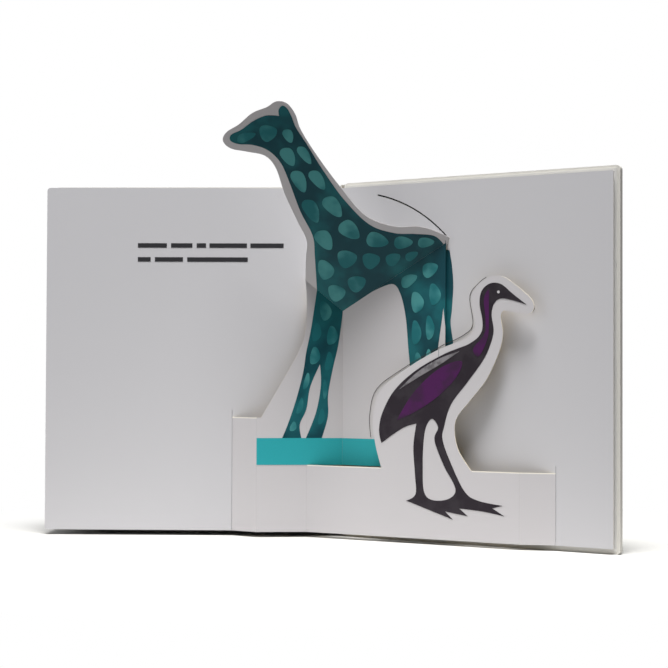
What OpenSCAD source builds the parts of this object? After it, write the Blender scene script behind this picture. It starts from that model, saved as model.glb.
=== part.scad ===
// Pop-up book standing open on the lower edges of its covers, in millimetres.
// The origin is on the floor at the middle of the spine's foot; +Z is up and -Y faces the reader.
// Plan points are worked out from the gutter of the open spread, and from_spine() moves them.

/* [Pages] */
// Width of a page from the gutter to the fore-edge
page_w = 171; // [165:1:180]
// Height of a page
page_h = 200; // [200:1:230]
// Turn of the left page away from the reader
left_turn = 1; // [0:0.5:4]
// Turn of the right page towards the reader
right_turn = 32; // [26:1:36]
// Thickness of one glued leaf
leaf_t = 0.9; // [0.7:0.1:1.4]
// Number of leaves in the left stack
leaf_count = 6; // [4:1:8]
// Thickness of the left stack at the spine
stack_t = 20; // [17:1:26]
// Angle by which the left stack fans out towards its fore-edge
fan = 1.5; // [0:0.25:3]
// Radius of the left leaves' worn outer corners
leaf_r = 2; // [0.5:0.5:4]
// Depth by which the folded paper inside the stacks lies back from the leaves' edges
recess = 9; // [5:1:20]
// Thickness of the right leaf and the slide pocket behind it
right_t = 2.4; // [1.8:0.1:4]

/* [Covers] */
// Thickness of a cover board
board_t = 2.5; // [1.5:0.1:3.5]
// Distance by which the back cover stands past the pages' fore-edge
square_w = 2.5; // [2:0.5:6]
// Height by which the covers stand past the pages at head and foot
square_h = 3; // [2:0.5:4]
// Radius of a cover board's corners
corner_r = 2; // [0.5:0.5:4]
// Thickness of the spine strip
spine_t = 1.5; // [0.8:0.1:1.8]
// Thickness of the covering paper
wrap_t = 0.3; // [0.2:0.05:0.4]
// Thickness of the lining paper inside each cover
lining_t = 0.25; // [0.15:0.05:0.4]
// Width of the covering paper turned in over the board's inner face
turn_in = 14; // [10:1:20]
// Gap between a cover board and the spine strip, bridged by the covering paper
joint_gap = 6; // [4:0.5:8]
// Distance of the back cover's hinge line from the gutter, along the right page
back_hinge_in = 1; // [0:0.5:2]
// Distance of the front cover's hinge line past the spine face of the left stack
front_hinge_out = 2; // [2:0.5:4]

/* [Pop-up sheet] */
// Thickness of the pop-up card
card_t = 0.45; // [0.3:0.05:0.6]
// Distance of the left slot from the gutter
left_slot = 61.5; // [58:0.5:66]
// Distance of the left front crease from the gutter
left_crease = 46.7; // [44:0.1:52]
// Height of the left front crease above the left page
left_rise = 9.3; // [7:0.1:11]
// Distance of the strip's fold from the left front crease
strip_fold = 29; // [26:0.5:34]
// Distance of the figure's centre fold from the gutter, along the right page
centre_fold = 4.35; // [3:0.05:6]
// Height of the rear panel above the right page
rear_rise = 1.3; // [1:0.1:2]
// Distance of the right front crease from the gutter
right_crease = 120; // [118:0.5:126]
// Height of the right front crease above the right page
right_rise = 7; // [5:0.1:9]
// Distance of the right slot from the gutter
right_slot = 138; // [134:0.5:144]
// Height of the strip along the foot
strip_h = 38.7; // [34:0.1:40]
// Height of the left shoulder of the strip
shoulder_h = 66; // [60:0.5:70]
// Height of the point where the centre fold meets the two slanted creases
fold_h = 128; // [124:1:134]
// Slant of the left crease from the vertical
left_slant = 51; // [48:0.5:54]
// Slant of the right crease from the vertical
right_slant = 61.2; // [59:0.1:63]
// Height of the leaning panel above the point where the creases meet
figure_rise = 127; // [118:1:134]
// Width of the rear panel from the centre fold
rear_w = 67.5; // [64:0.5:71]
// Height of the wading bird above the page foot
bird_h = 145.5; // [138:0.5:150]

/* [Cuts and print] */
// Width of the slots that hold the sheet's ends
slot_w = 0.3; // [0.2:0.05:0.6]
// Width of the arc slit
slit_w = 0.9; // [0.8:0.1:1.4]
// Depth of the slots and of the arc slit in the leaf
slit_d = 0.6; // [0.4:0.05:0.65]
// Radius of the arc slit
arc_r = 90; // [84:0.5:96]
// Thickness of a printed field
print_t = 0.1; // [0.05:0.05:0.2]
// Height of the turquoise bar under the legs
bar_h = 15.5; // [12:0.5:18]
// Height of the upper line of type above the page foot
type_h = 165; // [150:1:176]
// Distance from one line of type to the next
type_lead = 8.2; // [7:0.1:10]
// Height of a bar that stands for a word
type_bar = 2.6; // [2:0.1:4]

/* [Hidden] */
$fn = 64;

paper_white = [0.87, 0.87, 0.89];
board_grey = [0.55, 0.53, 0.5];
wrap_white = [0.82, 0.81, 0.78];
teal_dark = [0.11, 0.25, 0.28];
teal_mid = [0.2, 0.4, 0.41];
turquoise = [0.18, 0.6, 0.61];
charcoal = [0.2, 0.18, 0.2];

left_dir = -left_turn;
right_dir = -right_turn;
foot_z = square_h;
cover_h = page_h + 2 * square_h;
cover_t = 2 * wrap_t + board_t + lining_t;
board_w = page_w - back_hinge_in + square_w - joint_gap / 2;
hinge_play = wrap_t + 0.05;
cover_play = 0.02;
steps = 6;

// Plan point on the left page at a distance from the gutter and a height above the page
function left_pt(s, rise) = -s * [cos(left_dir), sin(left_dir)] + rise * [sin(left_dir), -cos(left_dir)];
// Plan point on the right page at a distance from the gutter and a height above the page
function right_pt(s, rise) = s * [cos(right_dir), sin(right_dir)] + rise * [sin(right_dir), -cos(right_dir)];
function heading(a, b) = atan2(b.y - a.y, b.x - a.x);

// Plan points of the pop-up sheet's front face
slot_l = left_pt(left_slot, 0);
crease_l = left_pt(left_crease, left_rise);
centre = right_pt(centre_fold, rear_rise + card_t);
crease_r = right_pt(right_crease, right_rise);
slot_r = right_pt(right_slot, 0);
leg_dir = heading(crease_l, centre);
leg_w = norm(centre - crease_l);
fork = crease_l + strip_fold * [cos(leg_dir), sin(leg_dir)];
strip_dir = heading(fork, crease_r);
strip_w = norm(crease_r - fork);
shoulder_dir = heading(slot_l, crease_l);
shoulder_w = norm(crease_l - slot_l);
tail_dir = heading(crease_r, slot_r);
tail_w = norm(slot_r - crease_r);

// The leaning panel's plane holds both slanted creases
left_line = [-sin(left_slant) * cos(leg_dir), -sin(left_slant) * sin(leg_dir), cos(left_slant)];
right_line = [sin(right_slant) * cos(right_dir), sin(right_slant) * sin(right_dir), cos(right_slant)];
lean_normal = cross(right_line, left_line) / norm(cross(right_line, left_line));
lean_dir = atan2(lean_normal.x, -lean_normal.y);
lean = asin(-lean_normal.z);
lean_u = [cos(lean_dir), sin(lean_dir), 0];
lean_v = [sin(lean) * sin(lean_dir), -sin(lean) * cos(lean_dir), cos(lean)];
function on_lean_axes(v) = [v * lean_u, v * lean_v];
left_run = on_lean_axes(left_line);
right_run = on_lean_axes(right_line);

// Figure outlines were drawn for a fold 128 high, a leaning panel 127 high and a bird 145.5 high
rise_k = figure_rise / 127;
leg_k = fold_h / 128;
bird_k = bird_h / 145.5;

// Closed smooth outline through points; a third value marks a sharp corner
function slope(p, i) =
  let (n = len(p))
  len(p[i]) > 2 ? [0, 0] : (flat(p[(i + 1) % n]) - flat(p[(i + n - 1) % n])) / 2;
function flat(v) = [v[0], v[1]];
function blend(a, ma, b, mb, t) =
  (2 * pow(t, 3) - 3 * t * t + 1) * a + (pow(t, 3) - 2 * t * t + t) * ma
  + (3 * t * t - 2 * pow(t, 3)) * b + (pow(t, 3) - t * t) * mb;
function smooth(p) = [
  for (i = [0 : len(p) - 1])
    let (j = (i + 1) % len(p), straight = len(p[i]) > 2 && len(p[j]) > 2)
      for (k = [0 : straight ? 0 : steps - 1])
        blend(flat(p[i]), slope(p, i), flat(p[j]), slope(p, j), k / steps)
];
function stretched(p, k) = [for (v = p) len(v) > 2 ? [v.x, v.y * k, v.z] : [v.x, v.y * k]];

// Places a shape drawn in a standing panel: x along it, y up from the page foot, z to the reader
module on_panel(from, dir) {
  translate([from.x, from.y, foot_z]) rotate([0, 0, dir]) rotate([90, 0, 0]) children();
}

// Places a shape drawn in the leaning panel, with its origin where the creases meet
module on_lean() {
  translate([centre.x, centre.y, foot_z + fold_h]) rotate([0, 0, lean_dir]) rotate([90 + lean, 0, 0])
    children();
}

module field(outline) {
  linear_extrude(print_t) polygon(outline);
}

// Leaves of the open spread and the folded spreads behind it; the two open leaves cross at the gutter
gutter_lap = 0.3;
module upright(z0, z1) {
  translate([0, 0, foot_z + z0]) linear_extrude(z1 - z0) children();
}

module leaf_stack() {
  pitch = (stack_t - leaf_t) / (leaf_count - 1);
  for (k = [0 : leaf_count - 1]) {
    turn = left_turn + fan * k / (leaf_count - 1);
    start = left_pt(0, -k * pitch);
    lap = k == 0 ? gutter_lap : 0;
    translate([start.x, start.y, foot_z]) mirror([1, 0, 0]) rotate([0, 0, turn])
      plate(-lap, page_w, 0, leaf_t, 0, page_h, leaf_r);
  }
  reach = page_w - recess;
  folds_t = stack_t - leaf_t;
  upright(recess, page_h - recess) polygon([
    left_pt(2 * glue_in, -leaf_t / 2),
    left_pt(2 * glue_in, -folds_t - leaf_t / 2),
    left_pt(0, -folds_t - leaf_t / 2) + reach * [-cos(back_turn), sin(back_turn)],
    left_pt(reach, -leaf_t / 2)
  ]);
  upright(glue_in, page_h - glue_in) polygon([
    left_pt(glue_in, -leaf_t / 3),
    left_pt(glue_in, -folds_t - leaf_t / 3),
    left_pt(spine_glue, -folds_t - leaf_t / 3),
    left_pt(spine_glue, -leaf_t / 3)
  ]);
}
glue_in = 0.5;
spine_glue = 4;

module right_leaf() {
  right_r = 0.5;
  translate([0, 0, foot_z]) rotate([0, 0, right_dir])
    plate(-gutter_lap, page_w, 0, leaf_t, 0, page_h, right_r);
  pocket_in = 1;
  upright(recess, page_h - recess) polygon([
    right_pt(pocket_in, -leaf_t / 2),
    right_pt(page_w - recess, -leaf_t / 2),
    right_pt(page_w - recess, -right_t),
    right_pt(pocket_in, -right_t)
  ]);
  fold = 3;
  upright(2 * glue_in, page_h - 2 * glue_in) polygon([
    left_pt(fold, -0.4 * leaf_t),
    left_pt(0, -0.6 * leaf_t),
    right_pt(fold, -0.7 * leaf_t),
    right_pt(fold, -0.8 * right_t),
    right_pt(pocket_in / 2, -0.8 * right_t),
    left_pt(fold, -right_t)
  ]);
}

module slot_cut(at, dir, high) {
  translate([at.x, at.y, foot_z - 1]) rotate([0, 0, dir])
    translate([-slot_w / 2, -1, 0]) cube([slot_w, 1 + slit_d, high + 1]);
}

// The arc slit starts beside the rear panel's ear, where the sheet's tab enters it
ear_w = 1.2;
ear_h = 3.4;
tab_at = 42.8;
arc_centre = [centre_fold + rear_w + ear_w / 3, rear_crease_z(rear_w) + 0.9 * ear_h]
  - arc_r * [cos(tab_at), sin(tab_at)];
module arc_slit() {
  arc_sweep = 35;
  tab_room = 0.8;
  on_panel([0, 0], right_dir) translate([arc_centre.x, arc_centre.y, -slit_d])
    rotate([0, 0, tab_at - tab_room]) rotate_extrude(angle = arc_sweep, $fn = 120)
      translate([arc_r - slit_w / 2, 0]) square([slit_w, slit_d + 1]);
}

module leaf_block() {
  slot_over = 4;
  color(paper_white) from_spine() difference() {
    union() {
      leaf_stack();
      right_leaf();
    }
    slot_cut(left_pt(left_slot + slot_w / 2, 0), left_dir, shoulder_h + slot_over);
    slot_cut(right_pt(right_slot + slot_w / 2, 0), right_dir, strip_h + slot_over);
    arc_slit();
  }
}

// Plan of a band of card bent along a path, with mitred creases
function step_dir(path, i) = heading(path[i], path[i + 1]);
function back_pt(path, i, t) =
  let (a = step_dir(path, i - 1), b = step_dir(path, i))
  path[i] + t / cos((b - a) / 2) * [-sin((a + b) / 2), cos((a + b) / 2)];
function bent(path, t, start, end) =
  concat(path, [end], [for (i = [len(path) - 2 : -1 : 1]) back_pt(path, i, t)], [start]);

// Ends of a band that are cut flat against the page they rise from
function left_end(t) = slot_l + t / sin(abs(shoulder_dir - left_dir)) * [cos(left_dir), sin(left_dir)];
function right_end(t) = slot_r - t / sin(abs(tail_dir - right_dir)) * [cos(right_dir), sin(right_dir)];

// Takes away the part of a standing panel that lies inside an outline
trim = 2;
module cut_panel(from, dir, outline) {
  on_panel(from, dir) translate([0, 0, -trim - card_t]) linear_extrude(2 * trim + card_t) polygon(outline);
}

// Free edge of the front-leg panel from the shoulder up to the left crease
crease_gap = 22;
function leg_free_edge() = [
  [2.5, shoulder_h, 1],
  [24, 104 * leg_k],
  [28, 117 * leg_k],
  [28.8, 133 * leg_k],
  [leg_w - crease_gap, crease_z(crease_gap) + card_t, 1]
];
function crease_z(s) = fold_h + s / tan(left_slant);
function rear_crease_z(s) = fold_h + s / tan(right_slant);

// Back band: shoulder, front-leg panel and rear panel
cut_w = 0.15;
cut_over = 0.3;
module back_band() {
  rear_top = rear_crease_z(rear_w);
  band_top = rear_top + ear_h + 1;
  over = band_top + 1;
  end = centre + (rear_w + ear_w) * [cos(right_dir), sin(right_dir)];
  difference() {
    upright(strip_h - 1, band_top)
      polygon(bent([slot_l, crease_l, fork, centre, end], card_t,
        left_end(card_t), end + card_t * [-sin(right_dir), cos(right_dir)]));
    cut_panel(slot_l, shoulder_dir,
      [[-trim, shoulder_h], [shoulder_w + 1, shoulder_h], [shoulder_w + 1, over], [-trim, over]]);
    cut_panel(crease_l, leg_dir, smooth(concat(
      [[-trim, shoulder_h, 1]],
      leg_free_edge(),
      [[leg_w, fold_h + card_t, 1], [leg_w, over, 1], [-trim, over, 1]]
    )));
    translate([centre.x, centre.y, foot_z + fold_h + card_t]) cylinder(over, r = trim / 2);
    cut_panel(centre, right_dir, [
      [0, fold_h + card_t],
      [rear_w - ear_w, rear_crease_z(rear_w - ear_w) + card_t],
      [rear_w, rear_top + ear_h],
      [rear_w + trim, rear_top + ear_h],
      [rear_w + trim, over],
      [0, over]
    ]);
    cut_panel(centre, right_dir,
      [[rear_w, 0], [rear_w + trim, 0], [rear_w + trim, rear_top], [rear_w, rear_top]]);
    cut_panel(crease_l, leg_dir, [
      [strip_fold - cut_over, 0],
      [leg_w + trim, 0],
      [leg_w + trim, strip_h + cut_w],
      [strip_fold - cut_over, strip_h + cut_w]
    ]);
    rear_foot = strip_h + 2 * cut_w;
    cut_panel(centre, right_dir, [[-trim, 0], [rear_w + trim, 0], [rear_w + trim, rear_foot], [-trim, rear_foot]]);
  }
}

// Cut edge of the bird card, drawn from the strip's top edge and back to it
function bird_card() = stretched([
  [48.6, strip_h / bird_k, 1],
  [44.6, 53],
  [43.4, 67],
  [48, 82],
  [64, 94.5],
  [84, 105.3],
  [101, 111.6],
  [106.4, 118.5],
  [104.6, 127],
  [103.8, 134],
  [108, 141],
  [115.5, 145.2],
  [123, 144.8],
  [131, 139.5],
  [139, 132.5],
  [140.6, 127.5],
  [137.5, 124.4],
  [129.5, 125.4],
  [123.4, 126.4],
  [121.4, 122.8],
  [122.6, 114],
  [120.4, 104],
  [113, 89],
  [103, 77],
  [95.5, 68],
  [94, 60],
  [96.4, 49.5],
  [104, strip_h / bird_k, 1]
], bird_k);

// Front band: shoulder, foot of the front-leg panel, strip and tail; the bird card rises from the
// strip and runs on past its right crease
module front_band() {
  foot_t = card_t + 0.02;
  inset = 0.01;
  rooted = strip_h - 1;
  upright(0, strip_h)
    polygon(bent([slot_l, crease_l, fork, crease_r, slot_r], foot_t, left_end(foot_t), right_end(foot_t)));
  on_panel(fork, strip_dir) translate([0, 0, inset - foot_t]) linear_extrude(foot_t - 2 * inset)
    polygon(concat(smooth_open(bird_card()), [[104, rooted], [48.6, rooted]]));
}
function smooth_open(p) = [for (v = smooth(p)) if (v.y >= strip_h - 0.001) v];

// Outline of the leaning panel, from the tip at the arc slit over the head to the left crease
function lean_card() = smooth(stretched([
  [right_run.x * tip_run + 2.4, right_run.y * tip_run / rise_k + 3.2, 1],
  [59, 48.6],
  [50, 51.2],
  [36, 51.6],
  [20, 58.8],
  [7, 77],
  [-4, 95.5],
  [-11, 110],
  [-13, 119],
  [-17, 125.4],
  [-23, 126.8],
  [-29, 123.8],
  [-38, 120.8],
  [-47, 114.6],
  [-55, 110.4],
  [-58, 105.6],
  [-54, 100.8],
  [-44, 98.4],
  [-34, 95.6],
  [-28.6, 88],
  [-25.6, 73],
  [-20, 55.5],
  [-16.2, 44],
  [-18, 34],
  [left_run.x * crease_gap / sin(left_slant), left_run.y * crease_gap / sin(left_slant) / rise_k, 1],
  [left_run.x * crease_gap / sin(left_slant), left_run.y * crease_gap / sin(left_slant) / rise_k - card_t, 1],
  [0, -card_t, 1],
  [right_run.x * tip_run + 1, right_run.y * tip_run / rise_k - card_t, 1]
], rise_k));
tip_run = rear_w / sin(right_slant);

// Tab at the figure's rump that runs in the arc slit
module slit_tab() {
  tab_w = 1.6;
  on_panel([0, 0], right_dir) translate([arc_centre.x, arc_centre.y, -slit_d / 2])
    rotate([0, 0, tab_at]) translate([arc_r - card_t / 2, -tab_w / 2, 0])
      cube([card_t, tab_w, slit_d / 2 + rear_rise + card_t / 2]);
}

module popup_sheet() {
  color(paper_white) from_spine() {
    front_band();
    back_band();
    slit_tab();
    on_lean() translate([0, 0, -card_t]) linear_extrude(card_t) polygon(lean_card());
  }
}

// Upright plate with rounded corners at its outer end
module plate(x0, x1, y0, y1, z0, z1, r) {
  translate([0, y1, 0]) rotate([90, 0, 0]) linear_extrude(y1 - y0) union() {
    translate([x0, z0]) square([x1 - x0 - r, z1 - z0]);
    translate([x0, z0 + r]) square([x1 - x0, z1 - z0 - 2 * r]);
    translate([x1 - r, z0 + r]) circle(r);
    translate([x1 - r, z1 - r]) circle(r);
  }
}

// Cover drawn with its hinge line at the origin: x to the fore-edge, y in towards the pages
board_x = joint_gap / 2;
board_end = board_x + board_w;
turn_edge = board_end - turn_in;

module cover_board() {
  plate(board_x, board_end, wrap_t, wrap_t + board_t, wrap_t, cover_h - wrap_t, corner_r);
}

module turn_in_window(y1) {
  translate([board_x, wrap_t + board_t, turn_in])
    cube([turn_edge - board_x, y1 - wrap_t - board_t, cover_h - 2 * turn_in]);
}

module cover_wrap() {
  inner_y = 2 * wrap_t + board_t;
  difference() {
    plate(board_x, board_end + wrap_t, 0, inner_y, 0, cover_h, corner_r + wrap_t);
    cover_board();
    turn_in_window(inner_y + 1);
  }
  translate([hinge_play, 0, 0]) cube([board_x - hinge_play, wrap_t, cover_h]);
}

module cover_lining() {
  inner_y = 2 * wrap_t + board_t;
  margin = 1.5;
  turn_in_window(inner_y);
  translate([board_x, inner_y, margin])
    cube([board_w - margin, lining_t, cover_h - 2 * margin]);
}

back_turn = left_turn + fan;
front_hinge = left_pt(0, -stack_t) + (cover_t + cover_play) * [sin(back_turn), cos(back_turn)]
  + front_hinge_out * [cos(back_turn), -sin(back_turn)];
back_hinge = right_pt(back_hinge_in, -right_t - cover_t - cover_play);
spine_dir = heading(back_hinge, front_hinge);
spine_span = norm(front_hinge - back_hinge);

// Middle of the spine's foot, seen from the gutter
spine_mid = back_hinge + spine_span / 2 * [cos(spine_dir), sin(spine_dir)]
  + (wrap_t + spine_t / 2) * [-sin(spine_dir), cos(spine_dir)];
module from_spine() {
  translate([-spine_mid.x, -spine_mid.y, 0]) children();
}

module on_front_cover() {
  translate([front_hinge.x, front_hinge.y, 0]) rotate([0, 0, 180 - back_turn]) children();
}
module on_back_cover() {
  translate([back_hinge.x, back_hinge.y, 0]) rotate([0, 0, right_dir]) mirror([0, 1, 0]) children();
}
module on_spine() {
  translate([back_hinge.x, back_hinge.y, 0]) rotate([0, 0, spine_dir]) children();
}

module front_board() {
  color(board_grey) from_spine() on_front_cover() cover_board();
}
module front_wrap() {
  color(wrap_white) from_spine() on_front_cover() cover_wrap();
}
module front_lining() {
  color(paper_white) from_spine() on_front_cover() cover_lining();
}
module back_board() {
  color(board_grey) from_spine() on_back_cover() cover_board();
}
module back_wrap() {
  color(wrap_white) from_spine() on_back_cover() cover_wrap();
}
module back_lining() {
  color(paper_white) from_spine() on_back_cover() cover_lining();
}

spine_strip_w = spine_span - joint_gap;
module spine_core() {
  translate([board_x, wrap_t, wrap_t]) cube([spine_strip_w, spine_t, cover_h - 2 * wrap_t]);
}
module spine_strip() {
  color(board_grey) from_spine() on_spine() spine_core();
}
module spine_wrap() {
  color(wrap_white) from_spine() on_spine() {
    translate([hinge_play, 0, 0]) cube([spine_span - 2 * hinge_play, wrap_t, cover_h]);
    for (z = [0, cover_h - turn_in]) difference() {
      translate([board_x, 0, z]) cube([spine_strip_w, 2 * wrap_t + spine_t, turn_in]);
      spine_core();
    }
  }
}

// Printed fields; each stops a little short of the creases
crease_clear = 0.06;
chest_run = 19.5;
function left_edge(d) = [left_run.x * d, left_run.y * d / rise_k + crease_clear, 1];
function right_edge(d) = [right_run.x * d, right_run.y * d / rise_k + crease_clear, 1];

function figure_outline() = smooth(stretched([
  right_edge(tip_run - 1.5),
  [59, 45.4],
  [48, 46.8],
  [36, 47.6],
  [22, 53.2],
  [9, 68.5],
  [-1, 86],
  [-8.5, 101.5],
  [-13.4, 111],
  [-15, 117, 1],
  [-17, 122.2],
  [-19.6, 124.2],
  [-22.2, 122],
  [-22.4, 118.4, 1],
  [-30, 119],
  [-38, 116.2],
  [-46, 111.4],
  [-52.4, 108.8],
  [-53.4, 105.4],
  [-49, 103.2],
  [-40, 102.2],
  [-31.5, 98.6],
  [-25.2, 91],
  [-21.6, 79],
  [-17.6, 62],
  [-12.2, 47],
  [-12.6, 34],
  left_edge(chest_run),
  [0, crease_clear, 1]
], rise_k));

module figure_print() {
  color(teal_dark) from_spine() on_lean() field(figure_outline());
}

chest_x = leg_w - chest_run * sin(left_slant);
function front_legs_outline() = smooth(concat(
  [[chest_x, crease_z(leg_w - chest_x) - crease_clear, 1]],
  stretched([
    [31.4, 118],
    [28.6, 104],
    [26.8, 92],
    [23, 77],
    [18.4, 63]
  ], leg_k),
  [[14.8, bar_top, 1], [26, bar_top, 1]],
  stretched([
    [25, 62],
    [28.8, 71],
    [31, 84],
    [36.6, 97, 1],
    [37.2, 85],
    [34.4, 69]
  ], leg_k),
  [[28.6, bar_top, 1], [37.8, bar_top, 1]],
  stretched([
    [41.4, 67],
    [41.4, 79],
    [44, 94],
    [47, 107],
    [48.8, 119]
  ], leg_k),
  [[leg_w - crease_clear, fold_h - crease_clear, 1]]
));
bar_top = strip_h + bar_h;

module front_legs_print() {
  color(teal_dark) from_spine() on_panel(crease_l, leg_dir) field(front_legs_outline());
}

flank_start = 20;
function hind_legs_outline() = smooth(concat(
  [[flank_start, rear_crease_z(flank_start) - crease_clear, 1]],
  stretched([
    [33, 143],
    [38.6, 137],
    [42, 124],
    [43.6, 108],
    [45.4, 88],
    [44.6, 68]
  ], leg_k),
  [[43, bar_top, 1], [54, bar_top, 1]],
  stretched([
    [54, 66],
    [57, 84],
    [61.6, 100],
    [64, 114],
    [66.2, 129, 1]
  ], leg_k),
  [
    [rear_w - crease_clear, 118 * leg_k, 1],
    [rear_w - crease_clear, rear_crease_z(rear_w) - 2 * crease_clear, 1]
  ]
));

// Rear leg and tail run on from the rear panel's edge onto the page
function tail_outline() = smooth(stretched([
  [70, 162, 1],
  [73.4, 161, 1],
  [75, 152],
  [75.8, 141],
  [75, 128],
  [74.2, 120],
  [75.8, 110, 1],
  [74.8, 92],
  [74, 72, 1],
  [70, 72, 1]
], leg_k));

module hind_legs_print() {
  color(teal_dark) from_spine() {
    on_panel(centre, right_dir) field(hind_legs_outline());
    on_panel([0, 0], right_dir) field(tail_outline());
  }
}

// Coat patches: rounded shapes of five or six sides in rows
function patch(x, y, a, b, turn) = smooth([
  for (k = [0 : 5])
    let (w = 60 * k + (k % 2) * 9, r = 1 - 0.14 * (k % 2))
      [x + a * r * cos(w) * cos(turn) - b * r * sin(w) * sin(turn),
       y + a * r * cos(w) * sin(turn) + b * r * sin(w) * cos(turn)]
]);
module patches(rows) {
  translate([0, 0, print_t]) for (v = rows) field(patch(v[0], v[1], v[2], v[3], v[4]));
}
function lifted(rows, k) = [for (v = rows) [v[0], v[1] * k, v[2], v[3], v[4]]];

module neck_patches() {
  color(teal_mid) from_spine() on_lean() patches(lifted([
    [-44, 107, 6.6, 2.7, 18],
    [-30.4, 109, 5.8, 5.2, 20],
    [-18.6, 107, 4.4, 3.2, -70],
    [-20.4, 95, 6.2, 4.3, -64],
    [-10.6, 95.6, 6.4, 3.1, -60],
    [-15.8, 80.4, 7.4, 4.4, -70],
    [-5, 80.8, 7, 3.9, -58],
    [-11, 62.6, 8, 4.8, -68],
    [2, 64.6, 7.6, 5, -54],
    [-5.6, 44.6, 7, 5.2, -60],
    [10, 50.2, 7.2, 5.6, -40],
    [25.4, 43.6, 7, 5, -10],
    [40.4, 41.8, 6, 4, 6],
    [53.6, 41.6, 5.2, 3.2, 8],
    [-7.2, 26, 5.2, 6.6, 6],
    [6.4, 32.6, 6.4, 5.8, 20],
    [20.6, 31.2, 5.8, 5.2, 24],
    [33.6, 31.8, 5.2, 3.8, 34],
    [-2.4, 11.6, 5.6, 5.6, 20],
    [10.4, 17.2, 6.2, 5.2, 32],
    [44.6, 33.6, 4.6, 2.6, 30]
  ], rise_k));
}

module front_leg_patches() {
  color(teal_mid) from_spine() on_panel(crease_l, leg_dir) patches(lifted([
    [39.6, 128, 3.6, 6.2, 10],
    [34.6, 115.4, 2.8, 5.8, -8],
    [43.6, 113.6, 3.4, 6, -6],
    [33.6, 101.8, 3.2, 5.6, -8],
    [41.8, 98.6, 2.4, 6, -8],
    [28.8, 87, 1.7, 5.4, -14],
    [39.6, 82.4, 1.4, 6.2, 0],
    [25.2, 72.6, 1.8, 5.2, -16],
    [37.6, 66.4, 1.9, 5, -10],
    [21.2, 60.8, 2, 3.2, -20]
  ], leg_k));
}

module hind_leg_patches() {
  color(teal_mid) from_spine() on_panel(centre, right_dir) patches(lifted([
    [43.8, 144.6, 6, 3.6, 26],
    [57.4, 150.4, 5.6, 4.4, 26],
    [49.4, 132.2, 4.4, 6.4, 8],
    [60.6, 136.4, 4, 6.6, 6],
    [48.8, 115, 3.4, 7.4, 2],
    [57.6, 117.6, 3, 7.4, 2],
    [50, 97, 3, 7.2, -2],
    [56.6, 100, 2.2, 6, -8],
    [49.6, 79.6, 2.6, 7, 2],
    [48.6, 63.6, 2.4, 5.4, 4]
  ], leg_k));
}

bar_reach = 60;
module bar_print_left() {
  color(turquoise) from_spine() on_panel(crease_l, leg_dir)
    field([[0, strip_h], [leg_w - crease_clear, strip_h], [leg_w - crease_clear, bar_top], [0, bar_top]]);
}
module bar_print_right() {
  color(turquoise) from_spine() on_panel(centre, right_dir)
    field([[crease_clear, strip_h], [bar_reach, strip_h], [bar_reach, bar_top], [crease_clear, bar_top]]);
}

function bird_outline() = smooth(stretched([
  [136.4, 129.4, 1],
  [128.4, 135.4],
  [121.6, 140.8],
  [115.2, 141.4],
  [110.2, 137.6],
  [108.8, 130.6],
  [110.6, 120.6],
  [109.4, 113.8],
  [102.6, 108.4],
  [88, 103],
  [70.4, 93.8],
  [57, 82.6],
  [49.4, 70],
  [47.2, 60],
  [48.8, 52.6, 1],
  [56, 57.6],
  [63.6, 62],
  [70.6, 64, 1],
  [68.8, 51],
  [69.8, 36],
  [70.2, 24.6],
  [64.4, 20.8, 1],
  [78, 16.4],
  [93, 11.6, 1],
  [88.4, 15.8, 1],
  [102, 13.8, 1],
  [97, 17.8, 1],
  [111, 16.8],
  [123.6, 14.8, 1],
  [116.6, 18.8, 1],
  [122.6, 20.4, 1],
  [108, 22.6],
  [100, 27.4],
  [92, 42],
  [86.8, 55],
  [87.6, 62.4],
  [91.8, 75],
  [101.4, 87],
  [112, 101],
  [117, 114],
  [116, 124],
  [117.4, 130.2],
  [121.4, 133],
  [128.6, 131.8]
], bird_k));
function leg_gap_outline() = smooth(stretched([
  [80.4, 66.8],
  [84, 62],
  [81.8, 55],
  [87.6, 41],
  [94.6, 28.6],
  [90.4, 22.8],
  [80.4, 21.8],
  [75.4, 26.4],
  [74.6, 40],
  [75, 53],
  [76.6, 62.4]
], bird_k));
function wing_outline() = smooth(stretched([
  [98, 99],
  [84, 94.4],
  [68.6, 81],
  [58.4, 65.6, 1],
  [70, 70.6],
  [84, 79.4],
  [95, 90]
], bird_k));
function neck_stripe_outline() = smooth(stretched([
  [114.4, 138.2],
  [111.4, 133],
  [112.4, 122],
  [111.6, 113.4],
  [105, 105.6],
  [108.6, 101.6],
  [113.8, 112],
  [114.4, 123],
  [114.4, 131]
], bird_k));
function back_stripe_outline() = smooth(stretched([
  [97, 104.4, 1],
  [84, 100],
  [71, 92.6],
  [59.6, 82.8, 1],
  [72, 90],
  [85, 97]
], bird_k));

module on_strip() {
  on_panel(fork, strip_dir) children();
}
module bird_print() {
  color(charcoal) from_spine() on_strip() linear_extrude(print_t) difference() {
    polygon(bird_outline());
    polygon(leg_gap_outline());
  }
}
module bird_wing() {
  color([0.34, 0.13, 0.37]) from_spine() on_strip() translate([0, 0, print_t]) {
    field(wing_outline());
    field(neck_stripe_outline());
  }
}
module bird_back() {
  color([0.55, 0.54, 0.56]) from_spine() on_strip() translate([0, 0, print_t]) field(back_stripe_outline());
}
module bird_eye() {
  eye_r = 0.8;
  color("white") from_spine() on_strip() translate([120, 136.6 * bird_k, print_t]) cylinder(print_t, r = eye_r);
}

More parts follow.
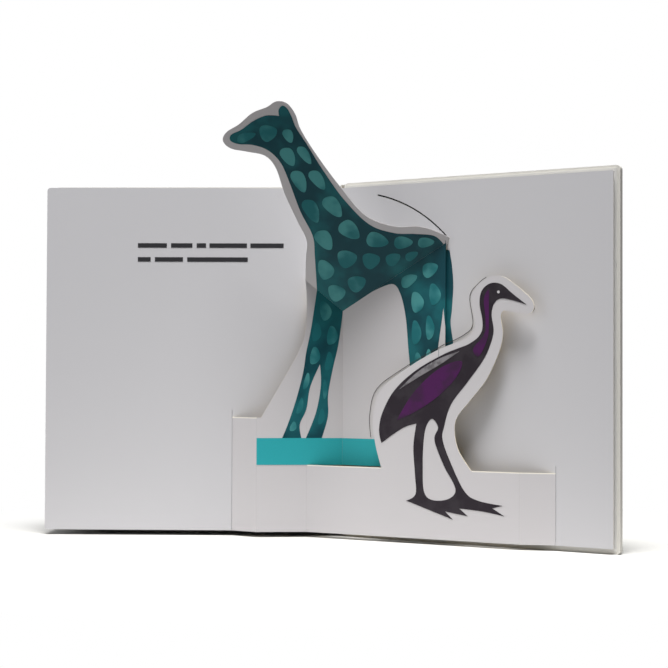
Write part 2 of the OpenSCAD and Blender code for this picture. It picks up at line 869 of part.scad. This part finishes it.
// Bars that stand for two short lines of words: start and end of each, from the gutter
module type_bars() {
  upper = [[117.5, 100.5], [98, 85.5], [83, 77.5], [75.5, 53.5], [51.5, 32]];
  lower = [[117.5, 110], [107.5, 91], [88.5, 53]];
  color([0.15, 0.15, 0.16]) from_spine() on_panel([0, 0], left_dir) {
    for (w = upper) translate([-w[0], type_h]) cube([w[0] - w[1], type_bar, print_t]);
    for (w = lower) translate([-w[0], type_h - type_lead]) cube([w[0] - w[1], type_bar, print_t]);
  }
}

leaf_block();
popup_sheet();
front_board();
front_wrap();
front_lining();
back_board();
back_wrap();
back_lining();
spine_strip();
spine_wrap();
figure_print();
front_legs_print();
hind_legs_print();
neck_patches();
front_leg_patches();
hind_leg_patches();
bar_print_left();
bar_print_right();
bird_print();
bird_wing();
bird_back();
bird_eye();
type_bars();
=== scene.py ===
"""Looks of the open pop-up book: papers, inks, covers, floor, lamps and camera around the part."""

import math

import bpy
from bpy.props import FloatProperty, FloatVectorProperty, PointerProperty
from mathutils import Matrix, Vector


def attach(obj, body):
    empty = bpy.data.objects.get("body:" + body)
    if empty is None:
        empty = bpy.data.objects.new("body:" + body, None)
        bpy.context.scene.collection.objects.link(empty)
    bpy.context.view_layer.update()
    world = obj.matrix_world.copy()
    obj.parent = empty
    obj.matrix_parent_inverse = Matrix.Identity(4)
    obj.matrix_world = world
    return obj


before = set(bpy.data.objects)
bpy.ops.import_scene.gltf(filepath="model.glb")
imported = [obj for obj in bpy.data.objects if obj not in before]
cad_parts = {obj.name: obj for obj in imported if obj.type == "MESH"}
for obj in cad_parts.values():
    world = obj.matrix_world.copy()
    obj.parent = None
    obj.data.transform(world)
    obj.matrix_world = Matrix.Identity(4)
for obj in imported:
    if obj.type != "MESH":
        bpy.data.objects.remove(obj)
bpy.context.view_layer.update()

bl_info = {
    "name": "Pop-Up Book",
    "version": (1, 0, 0),
    "blender": (4, 5, 0),
    "location": "3D View > Sidebar > Pop-Up Book",
    "description": "Finishes an open pop-up book with paper, card, ink and covers",
    "category": "Object",
}

MM = 0.001

# Plan of the open book in millimetres: gutter, turn of the pages and the sheet's creases
GUTTER = (-2.147, -13.724)
LEFT_TURN = -1.0
RIGHT_TURN = -32.0
SHOULDER_TURN = -32.7
LEG_TURN = 5.7
STRIP_TURN = -28.9
TAIL_TURN = -11.9
LEAN_TURN = -17.0
LEAN = 25.3
CREASE_LEFT = (-49.0, -22.21)
FORK = (-20.13, -19.48)
CENTRE = (0.61, -17.51)
CREASE_RIGHT = (95.91, -83.25)
FOLD_TOP = 131.0
LEFT_SLANT = 51.0
RIGHT_SLANT = 61.2
REAR_W = 67.5
CREASE_W = 0.5

# Level cut edges with a painted highlight along them: height, then where each starts and ends across
# the book
LEVEL_EDGES = ((69.0, -70.0, -47.0), (41.7, -19.5, 22.0), (41.7, 71.5, 120.0))
# Part of the leaning panel's raw edge painted dark as shade: the heights it starts at and how far it
# runs to the right
SHADED_EDGE_ABOVE = (124.0, 126.0)
SHADED_EDGE_LEFT_OF = (62.0, 64.0)
# Cut edge of the rear panel that took ink: its place along the panel, then its heights
INKED_PLACE = ((REAR_W - 0.12, REAR_W - 0.04), (REAR_W + 0.1, REAR_W + 0.2))
INKED_HEIGHTS = ((72.0, 74.0), (169.5, 170.0))
# Floor of the arc slit, painted dark as shade: its depth below the page, and the height the slit starts
# at
SLIT_DEPTHS = ((0.25, 0.4), (0.75, 0.85))
SLIT_FOOT = (90.0, 100.0)
# Cut faces nearer to the fold than this are the walls of slots, not the leaves' own edges
SLOT_REACH = (118.0, 120.0)

# Near black painted as the shade on the floor of the arc slit
SLIT_FLOOR_SHADE = (0.012, 0.012, 0.015, 1.0)
LIT_EDGE = (0.95, 0.92, 0.85, 1.0)
# Painted shade along the creases of the card
CREASE_SHADE_TONE = (0.42, 0.41, 0.4, 1.0)
BOARD_LAYER = (0.42, 0.4, 0.36, 1.0)
SKY_TONE = (0.97, 0.98, 1.0, 1.0)
WHITE = (1.0, 1.0, 1.0, 1.0)

# Fine dark line of painted shade along a cut beside the wading bird: its width, then for each run its
# height above the right page
# and its points, measured from the gutter and from the floor
CUT_SHADE_W = 0.35
CUT_SHADE_RUNS = (
    (1.98, ((23.7, 58.2), (22.9, 70.9), (27.5, 85.9), (45.3, 98.0), (67.8, 109.6), (71.7, 111.4))),
    (0.23, ((70.9, 111.4), (82.6, 116.5), (88.2, 122.6), (86.3, 138.1), (91.8, 145.2), (96.5, 148.4))),
    (0.23, ((124.4, 128.8), (125.4, 130.3), (125.2, 131.8))),
)

# Floor in metres: its size, the middle of the patch seen round the book, the distances between
# which it turns white, and the patch beside the book that throws light back
FLOOR_R = 12.0
FLOOR_SIDES = 96
FLOOR_CENTRE = (0.0, -0.05, 0.0)
FLOOR_CLEAR = 0.15
FLOOR_WHITE = 0.3
BOUNCE_SHAPE = (0.65, 1.0, 1.0)
BOUNCE_CLEAR = 0.12
BOUNCE_END = 0.2

# Lamps: place, what each looks at, size and colour
TOP_LAMP = ((0.0, -0.7, 2.8), (0.0, -0.05, 0.1), 1.0, (1.0, 0.99, 0.97))
SIDE_LAMP = ((-1.5, -0.5, 0.5), (0.0, 0.0, 0.1), 1.0, (1.0, 0.985, 0.96))

# Camera: place, tilt and roll in degrees, sensor width in millimetres
CAMERA_AT = (-0.004487, -0.944004, 0.0967)
CAMERA_TILT = 91.296
CAMERA_ROLL = 0.236
SENSOR_W = 36.0


def facing(turn, lean=0.0):
    """Unit vector out of a panel's front face."""
    a, b = math.radians(turn), math.radians(lean)
    return Vector((math.sin(a) * math.cos(b), -math.cos(a) * math.cos(b), -math.sin(b)))


def along(turn):
    """Unit vector along a standing panel, from left to right."""
    a = math.radians(turn)
    return Vector((math.cos(a), math.sin(a), 0.0))


UP = Vector((0.0, 0.0, 1.0))
ACROSS = Vector((1.0, 0.0, 0.0))

# Directions of the card's faces; its foot is the shoulder, the strip and the tail
FOOT_PANELS = [facing(SHOULDER_TURN), facing(STRIP_TURN), facing(TAIL_TURN)]
LEANING = facing(LEAN_TURN, LEAN)
PANELS = FOOT_PANELS + [facing(LEG_TURN), facing(RIGHT_TURN), LEANING]


class Signal:
    """A node's output socket that takes part in plain arithmetic."""

    def __init__(self, finish, socket):
        self.finish = finish
        self.socket = socket

    def _math(self, operation, *terms):
        return self.finish.node("ShaderNodeMath", {"operation": operation}, dict(enumerate(terms)))

    def __add__(self, other):
        return self._math("ADD", self, other)

    def __radd__(self, other):
        return self._math("ADD", other, self)

    def __sub__(self, other):
        return self._math("SUBTRACT", self, other)

    def __rsub__(self, other):
        return self._math("SUBTRACT", other, self)

    def __mul__(self, other):
        return self._math("MULTIPLY", self, other)

    def __rmul__(self, other):
        return self._math("MULTIPLY", other, self)

    def __abs__(self):
        return self._math("ABSOLUTE", self)

    def most(self, other):
        return self._math("MAXIMUM", self, other)

    def step(self, low, high):
        """Smooth rise from 0 at low to 1 at high."""
        values = {"Value": self, "From Min": low, "From Max": high}
        return self.finish.node("ShaderNodeMapRange", {"interpolation_type": "SMOOTHSTEP"}, values)

    def past(self, fade):
        """1 past a length in millimetres; fade gives where it comes in."""
        return self.step(fade[0] * MM, fade[1] * MM)

    def before(self, fade):
        """1 before a length in millimetres; fade gives where it goes out."""
        return 1.0 - self.past(fade)


class Finish:
    """One material, built from a Principled shader and the nodes that feed it."""

    def __init__(self, name):
        self.material = bpy.data.materials.new(name)
        self.material.use_nodes = True
        self.tree = self.material.node_tree
        self.tree.nodes.clear()
        self.shader = self.tree.nodes.new("ShaderNodeBsdfPrincipled")
        self.output = self.tree.nodes.new("ShaderNodeOutputMaterial")
        self.tree.links.new(self.shader.outputs[0], self.output.inputs["Surface"])

    def node(self, kind, settings=None, values=None, out=0):
        """Adds a node: its settings first, then the values or links of its sockets."""
        made = self.tree.nodes.new(kind)
        for key, value in (settings or {}).items():
            setattr(made, key, value)
        for key, value in (values or {}).items():
            self.put(made.inputs[key], value)
        return Signal(self, made.outputs[out])

    def put(self, socket, value):
        if isinstance(value, Signal):
            self.tree.links.new(value.socket, socket)
        else:
            socket.default_value = value

    def set(self, **values):
        for key, value in values.items():
            self.put(self.shader.inputs[key.replace("_", " ")], value)

    def place(self):
        """Position on the piece at rest, in metres."""
        return self.node("ShaderNodeTexCoord", out="Object")

    def height(self):
        return self.dot(self.place(), UP)

    def normal(self):
        return self.node("ShaderNodeNewGeometry", out="True Normal")

    def vector(self, operation, a, b=None, out=0):
        values = {0: a} if b is None else {0: a, 1: b}
        return self.node("ShaderNodeVectorMath", {"operation": operation}, values, out)

    def dot(self, a, b):
        return self.vector("DOT_PRODUCT", a, b, out="Value")

    def noise(self, scale, detail=2.0, rough=0.5, stretch=None, seed=0.0):
        """Soft noise from 0 to 1; scale is in features per metre."""
        at = self.place()
        if stretch:
            at = self.vector("MULTIPLY", at, stretch)
        settings = {"noise_dimensions": "4D"}
        values = {"Vector": at, "W": seed, "Scale": scale, "Detail": detail, "Roughness": rough}
        return self.node("ShaderNodeTexNoise", settings, values, out="Fac")

    def mix(self, share, a, b):
        """Colour a turning into colour b as share goes from 0 to 1."""
        settings = {"data_type": "RGBA", "clamp_factor": True}
        return self.node("ShaderNodeMix", settings, {0: share, 6: a, 7: b}, out=2)

    def shade(self, colour, share):
        """Colour made lighter or darker by a factor."""
        grey = self.node("ShaderNodeCombineXYZ", None, {0: share, 1: share, 2: share})
        return self.vector("MULTIPLY", colour if isinstance(colour, Signal) else colour[:3], grey)

    def bump(self, height, distance, under=None):
        values = {"Strength": 1.0, "Distance": distance, "Height": height}
        if under:
            values["Normal"] = under
        return self.node("ShaderNodeBump", None, values)

    def fade_to_white(self, centre, near, far):
        """Shows the camera plain white beyond a distance from a point on the floor."""
        away = self.vector("DISTANCE", self.place(), centre, out="Value").step(near, far)
        seen = self.node("ShaderNodeLightPath", out="Is Camera Ray")
        white = self.node("ShaderNodeEmission", None, {"Color": WHITE, "Strength": 1.0})
        ground = Signal(self, self.shader.outputs[0])
        mixed = self.node("ShaderNodeMixShader", None, {0: away * seen, 1: ground, 2: white})
        self.tree.links.new(mixed.socket, self.output.inputs["Surface"])

    def any_face(self, normals, least=0.985):
        """1 on faces that look along one of the given directions."""
        best = None
        for n in normals:
            share = self.dot(self.normal(), n)
            best = share if best is None else best.most(share)
        return best.step(least - 0.01, least)

    def line_mask(self, point, direction, width):
        """1 on a line in space, fading out at a distance of width."""
        off = self.vector("SUBTRACT", self.place(), point)
        away = self.vector("LENGTH", self.vector("CROSS_PRODUCT", off, direction), out="Value")
        return 1.0 - away.step(0.3 * width, width)


def settings():
    return bpy.context.scene.popup_book


def rgb(colour):
    return (colour[0], colour[1], colour[2], 1.0)


def colour_property(name, description, default):
    return FloatVectorProperty(
        name=name, description=description, default=default, size=3, min=0.0, max=1.0, subtype="COLOR"
    )


class PaperSettings(bpy.types.PropertyGroup):
    leaf: colour_property("Leaf", "Coated paper of the leaves", (0.62, 0.62, 0.655))
    card: colour_property("Card", "Face of the pop-up card", (0.625, 0.612, 0.64))
    back: colour_property("Card back", "Unprinted back of the pop-up card", (0.62, 0.45, 0.16))
    cut: colour_property("Cut edge", "Raw edge of the leaves", (0.8, 0.78, 0.74))
    pale: colour_property("Leaning back", "Back of the leaning panel", (0.58, 0.57, 0.55))
    # Painted shade on the raw edge of the leaning panel, on its upper left part
    edge_shade: colour_property("Dim edge", "Raw edge of the leaning panel", (0.3, 0.285, 0.295))
    core: colour_property("Card core", "Raw edge of the pop-up card", (0.9, 0.8, 0.58))
    cockle: FloatProperty(
        name="Cockle", description="Depth of the slow waves in a page", default=0.12 * MM, unit="LENGTH"
    )
    fibre: FloatProperty(
        name="Fibre", description="Depth of the paper's fine grain", default=0.02 * MM, unit="LENGTH"
    )


class InkSettings(bpy.types.PropertyGroup):
    deep: colour_property("Deep teal", "Main printed field of the tall animal", (0.004, 0.06, 0.082))
    teal: colour_property("Teal", "Second tone of the tall animal", (0.012, 0.16, 0.185))
    light: colour_property("Light teal", "Palest tone of the tall animal", (0.09, 0.37, 0.38))
    bar: colour_property("Turquoise", "Bar under the legs", (0.028, 0.4, 0.45))
    charcoal: colour_property("Charcoal", "Body of the wading bird", (0.026, 0.02, 0.028))
    purple: colour_property("Purple", "Wing of the wading bird", (0.075, 0.012, 0.09))
    grey: colour_property("Grey", "Back of the wading bird", (0.26, 0.25, 0.27))
    black: colour_property("Black", "Lines of type", (0.035, 0.035, 0.04))
    # Colour of the painted shade along the cut behind the wading bird
    cut_shade: colour_property("Scored line", "Fine line behind the wading bird", (0.06, 0.055, 0.055))


class CoverSettings(bpy.types.PropertyGroup):
    paper: colour_property("Covering paper", "Outside of the covers", (0.74, 0.73, 0.69))
    board: colour_property("Board", "Core of the covers", (0.3, 0.28, 0.25))
    lining: colour_property("Lining", "Paper inside the covers", (0.72, 0.72, 0.71))


class StageSettings(bpy.types.PropertyGroup):
    floor: colour_property("Floor", "Matte floor under the book", (0.6, 0.6, 0.59))
    near: colour_property("Near", "Light thrown back by the floor beside the book", (0.5, 0.49, 0.47))
    beyond: colour_property("Beyond", "Light thrown back by the floor farther off", (0.12, 0.12, 0.12))
    lens: FloatProperty(
        name="Lens", description="Focal length on a 36 mm wide sensor, in millimetres", default=85.83
    )
    sky: FloatProperty(name="Sky", description="Even light from all round", default=0.06)
    top: FloatProperty(
        name="Top lamp", description="Soft lamp above the book", default=158.0, unit="POWER"
    )
    side: FloatProperty(
        name="Side lamp", description="Soft lamp at the left", default=3.2, unit="POWER"
    )


class BookSettings(bpy.types.PropertyGroup):
    paper: PointerProperty(type=PaperSettings)
    ink: PointerProperty(type=InkSettings)
    cover: PointerProperty(type=CoverSettings)
    stage: PointerProperty(type=StageSettings)


def dress(node, finish):
    """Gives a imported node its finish."""
    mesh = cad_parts[node].data
    mesh.materials.clear()
    mesh.materials.append(finish.material)


def paper_grain(finish, coat=0.0):
    """Normal of coated paper: slow waves and a fine fibre grain."""
    paper = settings().paper
    waves = finish.noise(14.0, 1.0, stretch=(1.0, 1.0, 0.35), seed=2.0)
    grain = finish.noise(1600.0, 3.0, 0.6, seed=5.0)
    soft = finish.bump(waves, paper.cockle * (1.0 - coat))
    return finish.bump(grain, paper.fibre * (1.0 - 0.5 * coat), soft)


def leaf_finish():
    finish = Finish("leaf_paper")
    paper = settings().paper
    left, right = facing(LEFT_TURN), facing(RIGHT_TURN)
    across = abs(finish.dot(finish.place(), ACROSS))
    level = abs(finish.dot(finish.normal(), UP))
    slot_walls = across.before(SLOT_REACH) * (1.0 - level.step(0.8, 0.9))
    face = finish.any_face([left, right, -left, -right], 0.999).most(slot_walls)
    cloud = finish.noise(9.0, 2.0, seed=1.0)
    tone = 0.985 + 0.03 * cloud
    colour = finish.mix(face, rgb(paper.cut), finish.shade(rgb(paper.leaf), tone))
    gutter = Vector((GUTTER[0] * MM, GUTTER[1] * MM, 0.0))
    depth = -1.0 * finish.dot(finish.vector("SUBTRACT", finish.place(), gutter), right)
    turned = finish.dot(finish.normal(), right)
    # Painted shade: the floor of the arc slit is coloured near black
    slit = depth.past(SLIT_DEPTHS[0]) * depth.before(SLIT_DEPTHS[1]) * turned.step(0.98, 0.99)
    slit = slit * finish.height().past(SLIT_FOOT)
    colour = finish.mix(slit, colour, SLIT_FLOOR_SHADE)
    finish.set(Base_Color=colour, Roughness=0.52 + 0.08 * cloud, Normal=paper_grain(finish))
    finish.set(Specular_IOR_Level=0.35)
    return finish


def card_finish():
    finish = Finish("pop_card")
    paper = settings().paper
    cloud = finish.noise(11.0, 2.0, seed=3.0)
    pulp = finish.noise(700.0, 3.0, 0.6, seed=31.0)
    back = finish.shade(rgb(paper.back), 0.92 + 0.16 * pulp)
    front = finish.shade(rgb(paper.card), 0.985 + 0.03 * cloud)
    height = finish.height()
    across = finish.dot(finish.place(), ACROSS)
    # Painted shade: the raw edge of the leaning panel takes a dark colour above a height and left of a
    # point
    edge_shade = height.past(SHADED_EDGE_ABOVE) * across.before(SHADED_EDGE_LEFT_OF)
    edge = finish.mix(edge_shade, rgb(paper.core), rgb(paper.edge_shade))
    colour = finish.mix(finish.any_face([-n for n in PANELS]), edge, back)
    colour = finish.mix(finish.any_face([-LEANING]), colour, rgb(paper.pale))
    colour = finish.mix(finish.any_face(PANELS), colour, front)
    # Painted highlight: a bright band on the front face just below each level cut edge
    for top, start, end in LEVEL_EDGES:
        lit = height.past((top - 0.7, top - 0.3)) * height.before((top, top + 0.1))
        lit = lit * across.past((start - 0.3, start)) * across.before((end, end + 0.3))
        colour = finish.mix(lit * finish.any_face(FOOT_PANELS), colour, LIT_EDGE)
    # Painted shade along the creases: a dark grey line, made patchy by noise
    crease_shade = None
    for x, y in (CREASE_LEFT, FORK, CENTRE, CREASE_RIGHT):
        line = finish.line_mask(Vector((x * MM, y * MM, 0.0)), UP, CREASE_W * MM)
        crease_shade = line if crease_shade is None else crease_shade.most(line)
    top = Vector((CENTRE[0] * MM, CENTRE[1] * MM, FOLD_TOP * MM))
    for turn, slant in ((LEG_TURN, -LEFT_SLANT), (RIGHT_TURN, RIGHT_SLANT)):
        side = along(turn) * math.sin(math.radians(slant))
        direction = side + UP * math.cos(math.radians(slant))
        crease_shade = crease_shade.most(finish.line_mask(top, direction, CREASE_W * MM))
    patchy = finish.noise(500.0, 3.0, 0.7, seed=7.0)
    colour = finish.mix(crease_shade * (0.02 + 0.12 * patchy), colour, CREASE_SHADE_TONE)
    reach = finish.dot(finish.vector("SUBTRACT", finish.place(), top), along(RIGHT_TURN))
    inked = reach.past(INKED_PLACE[0]) * reach.before(INKED_PLACE[1])
    inked = inked * height.past(INKED_HEIGHTS[0]) * height.before(INKED_HEIGHTS[1])
    colour = finish.mix(inked, colour, rgb(settings().ink.deep))
    finish.set(Base_Color=colour, Roughness=0.5 + 0.08 * cloud, Normal=paper_grain(finish, 0.2))
    finish.set(Specular_IOR_Level=0.35)
    return finish


def ink_finish(name, base, second=None, scale=60.0, share=0.5):
    """Printed ink: a soft drift between two tones and a fine dry grain."""
    finish = Finish(name)
    drift = finish.noise(scale, 3.0, 0.55, seed=11.0)
    grain = finish.noise(2600.0, 2.0, 0.6, seed=13.0)
    colour = rgb(base)
    if second:
        colour = finish.mix(drift.step(0.42, 0.62) * share, colour, rgb(second))
    colour = finish.shade(colour, 0.88 + 0.24 * grain)
    finish.set(Base_Color=colour, Roughness=0.42 + 0.12 * grain, Normal=paper_grain(finish, 0.4))
    finish.set(Specular_IOR_Level=0.22)
    return finish


def cover_finish(name, base, gloss):
    """Covering and lining papers: a smooth sheet with slight mottling and rubbed edges."""
    finish = Finish(name)
    mottle = finish.noise(35.0, 4.0, 0.6, seed=17.0)
    rub = finish.node("ShaderNodeNewGeometry", out="Pointiness")
    patchy = rub.step(0.52, 0.56) * finish.noise(220.0, 2.0, seed=19.0)
    colour = finish.shade(rgb(base), 0.95 + 0.08 * mottle)
    colour = finish.mix(0.6 * patchy, colour, rgb(settings().paper.cut))
    finish.set(Base_Color=colour, Roughness=gloss + 0.1 * mottle, Normal=paper_grain(finish, 0.3))
    return finish


def board_finish():
    """Grey board: pressed pulp in thin layers."""
    finish = Finish("greyboard")
    layers = finish.noise(900.0, 3.0, 0.6, seed=23.0)
    colour = finish.mix(layers, rgb(settings().cover.board), BOARD_LAYER)
    finish.set(Base_Color=colour, Roughness=0.85, Normal=finish.bump(layers, 0.1 * MM))
    return finish


class POPUP_OT_leaves(bpy.types.Operator):
    """Finish the leaves of the book"""

    bl_idname = "popup.leaves"
    bl_label = "Leaves"

    def execute(self, context):
        dress("leaf_block", leaf_finish())
        return {"FINISHED"}


class POPUP_OT_card(bpy.types.Operator):
    """Finish the folded pop-up card"""

    bl_idname = "popup.card"
    bl_label = "Pop-up card"

    def execute(self, context):
        dress("popup_sheet", card_finish())
        return {"FINISHED"}


class POPUP_OT_covers(bpy.types.Operator):
    """Finish the boards, covering papers, linings and spine"""

    bl_idname = "popup.covers"
    bl_label = "Covers"

    def execute(self, context):
        cover = settings().cover
        paper = cover_finish("cover_paper", cover.paper, 0.34)
        lining = cover_finish("lining_paper", cover.lining, 0.55)
        board = board_finish()
        for node in ("front_wrap", "back_wrap", "spine_wrap"):
            dress(node, paper)
        for node in ("front_lining", "back_lining"):
            dress(node, lining)
        for node in ("front_board", "back_board", "spine_strip"):
            dress(node, board)
        return {"FINISHED"}


class POPUP_OT_tall_animal(bpy.types.Operator):
    """Print the tall animal and the bar it stands on"""

    bl_idname = "popup.tall_animal"
    bl_label = "Tall animal"

    def execute(self, context):
        ink = settings().ink
        body = ink_finish("ink_teal_dark", ink.deep, ink.teal, 34.0, 0.75)
        patch = ink_finish("ink_teal_mid", ink.teal, ink.light, 46.0, 0.8)
        bar = ink_finish("ink_turquoise", ink.bar, None)
        for node in ("figure_print", "front_legs_print", "hind_legs_print"):
            dress(node, body)
        for node in ("neck_patches", "front_leg_patches", "hind_leg_patches"):
            dress(node, patch)
        for node in ("bar_print_left", "bar_print_right"):
            dress(node, bar)
        return {"FINISHED"}


class POPUP_OT_wading_bird(bpy.types.Operator):
    """Print the wading bird"""

    bl_idname = "popup.wading_bird"
    bl_label = "Wading bird"

    def execute(self, context):
        ink = settings().ink
        dress("bird_print", ink_finish("ink_charcoal", ink.charcoal, ink.grey, 90.0, 0.05))
        dress("bird_wing", ink_finish("ink_purple", ink.purple, ink.charcoal, 90.0, 0.5))
        dress("bird_back", ink_finish("ink_grey", ink.grey, ink.charcoal, 300.0, 0.5))
        dress("bird_eye", ink_finish("ink_white", settings().paper.card))
        return {"FINISHED"}


class POPUP_OT_cut_shade_line(bpy.types.Operator):
    """Draw a fine dark line of painted shade along a cut in the card and the page behind the wading
    bird
    """

    bl_idname = "popup.scored_line"
    bl_label = "Scored line"

    def execute(self, context):
        verts, faces = [], []
        for rise, points in CUT_SHADE_RUNS:
            add_ribbon(verts, faces, rounded(points), rise, CUT_SHADE_W)
        mesh = bpy.data.meshes.new("cut_shade_line")
        mesh.from_pydata(verts, [], faces)
        mesh.materials.append(ink_finish("cut_shade_ink", settings().ink.cut_shade).material)
        line = bpy.data.objects.new("cut_shade_line", mesh)
        context.scene.collection.objects.link(line)
        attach(line, "pages")
        return {"FINISHED"}


class POPUP_OT_type(bpy.types.Operator):
    """Print the bars that stand for lines of words"""

    bl_idname = "popup.type_bars"
    bl_label = "Lines of type"

    def execute(self, context):
        dress("type_bars", ink_finish("ink_black", settings().ink.black))
        return {"FINISHED"}


def rounded(points, parts=6):
    """Smooth curve through points in a plane."""
    ends = [Vector(v) for v in (points[0], *points, points[-1])]
    curve = []
    for a, b, c, d in zip(ends, ends[1:], ends[2:], ends[3:]):
        bend = 2 * a - 5 * b + 4 * c - d
        twist = 3 * b - a - 3 * c + d
        for k in range(parts):
            u = k / parts
            curve.append(0.5 * (2 * b + (c - a) * u + bend * u**2 + twist * u**3))
    return curve + [ends[-1]]


def add_ribbon(verts, faces, curve, rise, width):
    """Adds a narrow flat strip along a curve on the right page, at a height above it."""
    side, front = along(RIGHT_TURN), facing(RIGHT_TURN)
    first = len(verts)
    for k, at in enumerate(curve):
        run = (curve[min(k + 1, len(curve) - 1)] - curve[max(k - 1, 0)]).normalized()
        for edge in (-0.5 * width, 0.5 * width):
            s, z = at.x - edge * run.y, at.y + edge * run.x
            verts.append((Vector((GUTTER[0], GUTTER[1], z)) + s * side + rise * front) * MM)
        if k:
            n = first + 2 * k
            faces.append((n - 2, n - 1, n + 1, n))


def flat_disc(name, radius, sides):
    angles = [2 * math.pi * k / sides for k in range(sides)]
    rim = [(radius * math.cos(a), radius * math.sin(a), 0.0) for a in angles]
    mesh = bpy.data.meshes.new(name)
    mesh.from_pydata(rim, [], [list(range(sides))])
    disc = bpy.data.objects.new(name, mesh)
    bpy.context.scene.collection.objects.link(disc)
    return disc


def soft_lamp(name, at, target, size, colour, power):
    lamp = bpy.data.lights.new(name, "AREA")
    lamp.shape = "DISK"
    lamp.size = size
    lamp.energy = power
    lamp.color = colour
    obj = bpy.data.objects.new(name, lamp)
    bpy.context.scene.collection.objects.link(obj)
    obj.location = at
    obj.rotation_euler = (Vector(target) - Vector(at)).to_track_quat("-Z", "Y").to_euler()


def pale_world(strength):
    """Even light all round; the camera sees plain white."""
    world = bpy.data.worlds.new("pale_room")
    bpy.context.scene.world = world
    world.use_nodes = True
    tree = world.node_tree
    tree.nodes.clear()
    path = tree.nodes.new("ShaderNodeLightPath")
    light = tree.nodes.new("ShaderNodeBackground")
    light.inputs["Color"].default_value = SKY_TONE
    light.inputs["Strength"].default_value = strength
    white = tree.nodes.new("ShaderNodeBackground")
    white.inputs["Color"].default_value = WHITE
    white.inputs["Strength"].default_value = 1.0
    mix = tree.nodes.new("ShaderNodeMixShader")
    tree.links.new(path.outputs["Is Camera Ray"], mix.inputs[0])
    tree.links.new(light.outputs[0], mix.inputs[1])
    tree.links.new(white.outputs[0], mix.inputs[2])
    output = tree.nodes.new("ShaderNodeOutputWorld")
    tree.links.new(mix.outputs[0], output.inputs["Surface"])


def floor_finish():
    """Matte floor: the camera sees one tone of it, and the book gets light from another."""
    finish = Finish("matte_floor")
    stage = settings().stage
    grain = finish.noise(300.0, 3.0, seed=29.0)
    ground = finish.shade(rgb(stage.floor), 0.985 + 0.03 * grain)
    off = finish.vector("SUBTRACT", finish.place(), FLOOR_CENTRE)
    away = finish.vector("LENGTH", finish.vector("MULTIPLY", off, BOUNCE_SHAPE), out="Value")
    share = away.step(BOUNCE_CLEAR, BOUNCE_END)
    bounce = finish.mix(share, rgb(stage.near), rgb(stage.beyond))
    seen = finish.node("ShaderNodeLightPath", out="Is Camera Ray")
    finish.set(Base_Color=finish.mix(seen, bounce, ground), Roughness=0.9)
    finish.fade_to_white(FLOOR_CENTRE, FLOOR_CLEAR, FLOOR_WHITE)
    return finish


def set_camera(scene, lens):
    camera = bpy.data.cameras.new("camera")
    camera.lens = lens
    camera.sensor_width = SENSOR_W
    camera.clip_end = 60.0
    obj = bpy.data.objects.new("camera", camera)
    scene.collection.objects.link(obj)
    tilt = Matrix.Rotation(math.radians(CAMERA_TILT), 4, "X")
    roll = Matrix.Rotation(math.radians(CAMERA_ROLL), 4, "Z")
    obj.matrix_world = Matrix.Translation(CAMERA_AT) @ tilt @ roll
    scene.camera = obj


class POPUP_OT_stage(bpy.types.Operator):
    """Set the floor, the lamps and the camera"""

    bl_idname = "popup.stage"
    bl_label = "Floor, lamps and camera"

    def execute(self, context):
        stage = settings().stage
        floor = flat_disc("floor", FLOOR_R, FLOOR_SIDES)
        floor.data.materials.append(floor_finish().material)
        pale_world(stage.sky)
        soft_lamp("top_lamp", *TOP_LAMP, stage.top)
        soft_lamp("side_lamp", *SIDE_LAMP, stage.side)
        set_camera(context.scene, stage.lens)
        context.scene.view_settings.view_transform = "Standard"
        return {"FINISHED"}


OPERATORS = (
    POPUP_OT_leaves,
    POPUP_OT_card,
    POPUP_OT_covers,
    POPUP_OT_tall_animal,
    POPUP_OT_wading_bird,
    POPUP_OT_cut_shade_line,
    POPUP_OT_type,
    POPUP_OT_stage,
)


class POPUP_PT_panel(bpy.types.Panel):
    """Lists the steps that finish the book"""

    bl_idname = "POPUP_PT_panel"
    bl_label = "Pop-Up Book"
    bl_space_type = "VIEW_3D"
    bl_region_type = "UI"
    bl_category = "Pop-Up Book"

    def draw(self, context):
        book = context.scene.popup_book
        for group in (book.paper, book.ink, book.cover, book.stage):
            box = self.layout.box()
            for name in group.__annotations__:
                box.prop(group, name)
        for operator in OPERATORS:
            self.layout.operator(operator.bl_idname)


GROUPS = (PaperSettings, InkSettings, CoverSettings, StageSettings, BookSettings)
CLASSES = (*GROUPS, *OPERATORS, POPUP_PT_panel)


def register():
    for cls in CLASSES:
        bpy.utils.register_class(cls)
    bpy.types.Scene.popup_book = PointerProperty(type=BookSettings)


def unregister():
    del bpy.types.Scene.popup_book
    for cls in reversed(CLASSES):
        bpy.utils.unregister_class(cls)


def main():
    register()
    for operator in OPERATORS:
        area, name = operator.bl_idname.split(".")
        getattr(getattr(bpy.ops, area), name)()


if __name__ == "__main__":
    main()
